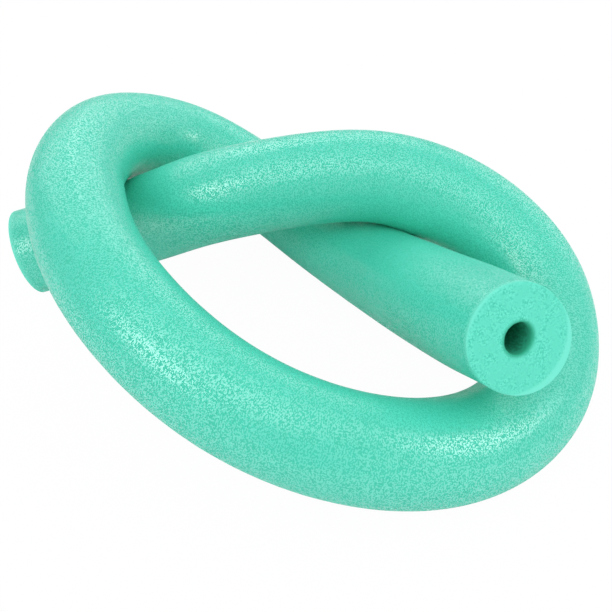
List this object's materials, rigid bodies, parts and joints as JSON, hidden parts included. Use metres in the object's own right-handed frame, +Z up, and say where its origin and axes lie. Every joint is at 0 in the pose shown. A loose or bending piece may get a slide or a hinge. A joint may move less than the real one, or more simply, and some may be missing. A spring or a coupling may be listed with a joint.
{
  "type": "pool noodle",
  "caption": "Long foam float tube with a bore through its length, tied in a loose overhand knot; its free front tail flexes up on a sprung hinge.",
  "frame": {"origin": "middle of the knot's footprint, on the ground", "axes": "+X along the knot's longest side, from the far tail towards the right bend; +Y away from the cut end that faces front; +Z up"},
  "size_m": [0.4224, 0.3604, 0.1518],
  "materials": {
    "foam": "closed-cell polyethylene foam, mint green, satin skin with a fine pebbled grain, matte open cells on the cut ends and in the bore"
  },
  "bodies": {
    "knot": {"near_tail_bend": "foam", "under_run": "foam", "upper_lobe": "foam", "left_side": "foam", "front_run": "foam", "right_bend": "foam", "arch": "foam", "far_tail": "foam"},
    "near_tail": {"near_tail_end": "foam"}
  },
  "joints": [
    {"name": "near_tail_lift", "type": "hinge", "parent": "knot", "child": "near_tail", "pos_m": [0.09032, -0.03434, 0.07232], "axis": [-0.9364, -0.351, 0], "range_deg": [-6, 30], "stiffness_Nm_per_rad": 2.9, "deforming": ["near_tail_bend"]}
  ]
}
